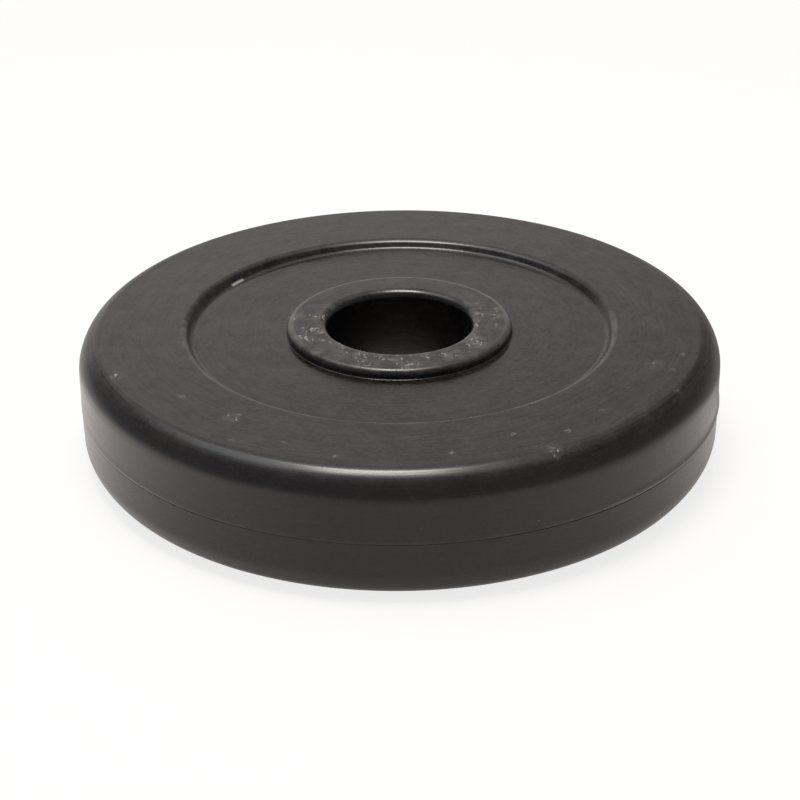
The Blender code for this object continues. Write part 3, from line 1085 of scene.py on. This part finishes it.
edge_group, entry, leaving = new_group(
    "edge wear and painted light", {"Amount": 1.0}, ("Wear and lip highlight", "Edge highlight", "Foot shade", "Crease highlight", "Foot", "Hollow", "Polish", "Bore shade")
)
tree = edge_group
turning = use_group(tree, round_coordinates)
radius_here, height_here = turning.outputs["Radius"], turning.outputs["Height"]
cosine, sine = turning.outputs["Cosine"], turning.outputs["Sine"]
level = sums(tree, "ABSOLUTE", height_here)
high = between(tree, level, 0.01255, 0.0128)
low = between(tree, level, WEB_HEIGHT + 0.0002, WEB_HEIGHT + 0.0008, 1.0, 0.0)
near_side = between(tree, sine, -0.80, -0.35, 1.0, 0.0)
not_near = between(tree, sine, -0.75, -0.20, 0.2, 1.0)
not_far = between(tree, sine, 0.05, 0.35, 1.0, 0.0)
far_side = between(tree, sine, 0.15, 0.40)
on_left = between(tree, cosine, -0.85, -0.60, 0.65, 0.35)
left_part = between(tree, cosine, -0.92, -0.75, 1.0, 0.0)
to_sides = between(tree, sums(tree, "ABSOLUTE", cosine), 0.24, 0.42)
right_of_plate = between(tree, cosine, 0.10, 0.80, 0.15, 0.6)

patchy = between(tree, noise_of(tree, object_place(tree), 260.0, 5.0, 0.68), 0.42, 0.66)
crest_edge = ring_mask(tree, radius_here, STEP_CREST_RADIUS + 0.0003, 0.0008)
# The crest of the step is worn pale on the left. The patches on the lip are painted highlight, standing for
# the light that the proud bead catches.
lip_highlight_patches = ring_mask(tree, height_here, JOINT_HEIGHT + 0.0004, 0.0005)
crest_worn = product(tree, crest_edge, on_left, high, not_far)
wear_and_lip_highlight = brightest(tree, [crest_worn, product(tree, lip_highlight_patches, right_of_plate)])
wear_and_lip_highlight = product(tree, wear_and_lip_highlight, patchy, entry.outputs["Amount"])

# Painted highlight: pale lines on the collar's rounded edge, except on the near side, and along the seam's
# lip, standing for the light that these roundings catch.
collar_edge = ring_mask(tree, radius_here, COLLAR_RADIUS - 0.0008, 0.0010)
lip_highlight_line = ring_mask(tree, height_here, JOINT_HEIGHT + LIP_PEAK * LIP_HEIGHT, 0.0004)
lip_right = between(tree, cosine, 0.45, 0.80, 0.0, 1.9)
lip_left = between(tree, cosine, -0.75, -0.60, 0.8, 0.0)
lip_highlight_line = product(tree, lip_highlight_line, sums(tree, "ADD", lip_right, lip_left))
edge_highlight = brightest(tree, [product(tree, collar_edge, high, not_near), lip_highlight_line])

# Painted shade: darker rings at the foot of the step on the near side and at the foot of the collar.
step_foot = product(tree, ring_mask(tree, radius_here, STEP_FOOT_RADIUS - 0.0013, 0.0018), near_side)
collar_foot = product(tree, ring_mask(tree, radius_here, COLLAR_RADIUS, 0.0032), COLLAR_FOOT_SHADE)
crease = ring_mask(tree, radius_here, STEP_FOOT_RADIUS - 0.0009, 0.0006)
hollow = ring_mask(tree, radius_here, STEP_FOOT_RADIUS - 0.0006, 0.0024)
edge_masks = {
    "Wear and lip highlight": wear_and_lip_highlight,
    "Edge highlight": edge_highlight,
    "Foot shade": product(tree, brightest(tree, [step_foot, collar_foot]), low),
    # Painted highlight: a pale line in the step's foot on the near left, standing for the light mirrored in
    # the concave rounding.
    "Crease highlight": product(tree, crease, left_part, near_side, low),
    "Foot": product(tree, ring_mask(tree, radius_here, COLLAR_RADIUS + 0.0007, 0.0022), low),
    "Hollow": product(tree, hollow, far_side, to_sides),
    "Polish": ring_mask(tree, radius_here, BORE_RADIUS + 0.0009, 0.0013),
    # Painted shade: the inside of the bore is painted darker.
    "Bore shade": between(tree, radius_here, 0.0152, 0.0158, 1.0, 0.0),
}
for name, mask in edge_masks.items():
    tree.links.new(mask, leaving.inputs[name])
print("groups so far:", [group.name for group in bpy.data.node_groups])

# %% [markdown]
# The casing's plastic
#
# The shells are moulded in black plastic with a satin surface. Nearly all of the look comes from the
# roughness and from very shallow relief: the lathe marks tilt the surface a little, a soft waviness stands
# for the sink of the plastic as it cooled, and the specks are both rougher and paler than the rest.
# Black plastic is never quite black, so the base colour is a very dark warm grey.
# The base colour also carries painted shade in the bore and at the feet, and painted highlights on the
# collar's edge, the lip, the step's foot and the streak.

# %% Make the casing plastic
BLACK = (0.0107, 0.0087, 0.0093, 1.0)
BROWN_BLACK = (0.0120, 0.0092, 0.0084, 1.0)
SPECK_GREY = (0.185, 0.177, 0.163, 1.0)
# Pale for the nicks, and for the painted glint of the streak.
PALE_SCRAPE_AND_GLINT = (0.450, 0.430, 0.400, 1.0)
# Pale grey for wear, also used for the painted highlights in the step's foot, on the collar's edge and along
# the lip.
WEAR_AND_HIGHLIGHT_GREY = (0.105, 0.098, 0.090, 1.0)
# Near black, for the painted shade at the feet and for the dark arcs.
SHADE_AND_GROOVE_BLACK = (0.004, 0.004, 0.004, 1.0)
SMOOTHEST_SATIN = 0.265
ROUGHEST_SATIN = 0.295
# How much the painted shade darkens the base colour inside the bore.
PAINTED_BORE_SHADE = 0.45
MICRON = 0.000001


def give_material(piece, material):
    """Make the material the piece's only one."""
    piece.data.materials.clear()
    piece.data.materials.append(material)


def add_relief(tree, shader, relief):
    """Tilt the shader's surface by a relief in metres."""
    bump = tree.nodes.new("ShaderNodeBump")
    bump.inputs["Strength"].default_value = 1.0
    bump.inputs["Distance"].default_value = 1.0
    tree.links.new(relief, bump.inputs["Height"])
    tree.links.new(bump.outputs["Normal"], shader.inputs["Normal"])


casing_black, tree, shader = new_material("casing black")
marks = use_group(tree, lathe_marks).outputs
scuffs = use_group(tree, scuff_group).outputs
hair = use_group(tree, hair_group).outputs["Hair"]
knocks = use_group(tree, mark_group).outputs
edges = use_group(tree, edge_group).outputs
spot = object_place(tree)

tint = between(tree, noise_of(tree, spot, 38.0, 2.0), 0.38, 0.62)
colour = blend(tree, tint, BLACK, BROWN_BLACK)
blotches = noise_of(tree, spot, 1150.0, 3.0, 0.6)
uneven = between(tree, marks["Fine"], 0.3, 0.7, -0.22, 0.22)
for source, low, high, swing in (
    (marks["Mark"], 0.3, 0.7, 0.25),
    (marks["Mottle"], 0.32, 0.68, 0.28),
    (blotches, 0.32, 0.68, 0.45),
    (noise_of(tree, spot, 210.0, 2.0), 0.32, 0.68, 0.30),
):
    uneven = sums(tree, "ADD", uneven, between(tree, source, low, high, -swing, swing))
strength = between(tree, marks["Face"], 0.0, 1.0, 0.25, 1.0)
shade = sums(tree, "MULTIPLY_ADD", uneven, strength, 1.0)
# Painted shade: the base colour is darker inside the bore.
shade = product(tree, shade, between(tree, edges["Bore shade"], 0.0, 1.0, 1.0, PAINTED_BORE_SHADE))
colour = blend(tree, 1.0, colour, shade, "MULTIPLY")
for mask, share, coat in (
    # painted highlight in the step's foot
    (edges["Crease highlight"], 0.12, WEAR_AND_HIGHLIGHT_GREY),
    # painted shade at the feet
    (edges["Foot shade"], 0.5, SHADE_AND_GROOVE_BLACK),
    (scuffs["Rub"], 0.38, WEAR_AND_HIGHLIGHT_GREY),
    # wear on the crest, and painted highlight on the lip
    (edges["Wear and lip highlight"], 0.8, WEAR_AND_HIGHLIGHT_GREY),
    (hair, 0.10, WEAR_AND_HIGHLIGHT_GREY),
    # painted highlight on the collar's edge and along the lip
    (edges["Edge highlight"], 0.45, WEAR_AND_HIGHLIGHT_GREY),
    (knocks["Groove"], 0.7, SHADE_AND_GROOVE_BLACK),
    (scuffs["Speck"], 1.0, SPECK_GREY),
    (knocks["Nick"], 1.0, PALE_SCRAPE_AND_GLINT),
    # scrape with a painted glint
    (knocks["Glint streak"], 0.55, PALE_SCRAPE_AND_GLINT),
):
    colour = blend(tree, sums(tree, "MULTIPLY", mask, share), colour, coat)
tree.links.new(colour, shader.inputs["Base Color"])

satin = between(tree, marks["Fine"], 0.3, 0.7, SMOOTHEST_SATIN, ROUGHEST_SATIN)
satin = layered(tree, satin, (
    (scuffs["Rub"], 0.08),
    (scuffs["Speck"], 0.30),
    (edges["Wear and lip highlight"], 0.10),
    (edges["Crease highlight"], 0.20),
    (edges["Polish"], -0.05),
    (edges["Foot shade"], 0.10),
    (edges["Foot"], -0.13),
    (edges["Hollow"], -0.14),
))
tree.links.new(satin, shader.inputs["Roughness"])
shader.inputs["IOR"].default_value = 1.5

moulded = layered(tree, sums(tree, "MULTIPLY", marks["Fine"], 1.5 * MICRON), (
    (marks["Mark"], 7.0 * MICRON),
    (marks["Mottle"], 3.0 * MICRON),
    (blotches, 5.0 * MICRON),
))
relief = layered(tree, product(tree, moulded, strength), (
    (noise_of(tree, spot, 55.0, 1.0), 30.0 * MICRON),
    (knocks["Groove"], -60.0 * MICRON),
    (knocks["Nick"], 10.0 * MICRON),
    (hair, -5.0 * MICRON),
    (scuffs["Speck"], 15.0 * MICRON),
))
add_relief(tree, shader, relief)
give_material(front_casing, casing_black)
give_material(back_casing, casing_black)
print("casing black has", len(tree.nodes), "nodes")

# %% [markdown]
# The plug's plastic and the cement
#
# The plug is a softer, duller plastic than the casing, with a fine grain and a few pale specks. The cast
# ring can't be seen while the casing is closed, and it still gets what sand and cement look like: pale
# grains in a grey binder, with a gritty surface and small holes.

# %% Make the plug plastic and the cement
PLUG_BLACK = (0.017, 0.0165, 0.016, 1.0)
DARK_BINDER = (0.24, 0.23, 0.21, 1.0)
PALE_BINDER = (0.40, 0.38, 0.34, 1.0)
SAND = (0.50, 0.45, 0.36, 1.0)
PIT = (0.10, 0.09, 0.08, 1.0)

plug_black, tree, shader = new_material("plug black")
spot = object_place(tree)
scuffs = use_group(tree, scuff_group, Everywhere=0.05).outputs
grain = noise_of(tree, spot, 2400.0, 3.0)
shaded = blend(tree, 1.0, PLUG_BLACK, between(tree, grain, 0.3, 0.7, 0.75, 1.25), "MULTIPLY")
tree.links.new(blend(tree, scuffs["Speck"], shaded, WEAR_AND_HIGHLIGHT_GREY), shader.inputs["Base Color"])
tree.links.new(between(tree, grain, 0.3, 0.7, 0.42, 0.52), shader.inputs["Roughness"])
add_relief(tree, shader, sums(tree, "MULTIPLY", grain, 10.0 * MICRON))
give_material(plug, plug_black)

cement, tree, shader = new_material("sand and cement")
spot = object_place(tree)
sand = tree.nodes.new("ShaderNodeTexVoronoi")
sand.inputs["Scale"].default_value = 900.0
tree.links.new(spot, sand.inputs["Vector"])
grit = noise_of(tree, spot, 700.0, 6.0, 0.65)
stain = noise_of(tree, spot, 60.0, 3.0)
holes = between(tree, noise_of(tree, spot, 330.0, 2.0), 0.66, 0.72)
binder = blend(tree, stain, DARK_BINDER, PALE_BINDER)
sandy = blend(tree, sums(tree, "MULTIPLY", sand.outputs["Distance"], 1.4), SAND, binder)
tree.links.new(blend(tree, holes, sandy, PIT), shader.inputs["Base Color"])
shader.inputs["Roughness"].default_value = 0.92
relief = layered(tree, sums(tree, "MULTIPLY", grit, 250.0 * MICRON), [(holes, -400.0 * MICRON)])
add_relief(tree, shader, relief)
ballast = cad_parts["ballast_ring"]
for material_slot in ballast.material_slots:
    material_slot.material = cement
print("materials:", [material.name for material in bpy.data.materials])

# %% [markdown]
# Hand the pieces to the frame
#
# Each piece rides on the plate's one body and stands in for the CAD solid that it was modelled on.

# %% Ride and replace
for piece, node, slot_name in (
    (front_casing, "front_shell", "casing"),
    (back_casing, "back_shell", "casing"),
    (plug, "filler_plug", "plug"),
):
    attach(piece, "root")
    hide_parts(node)
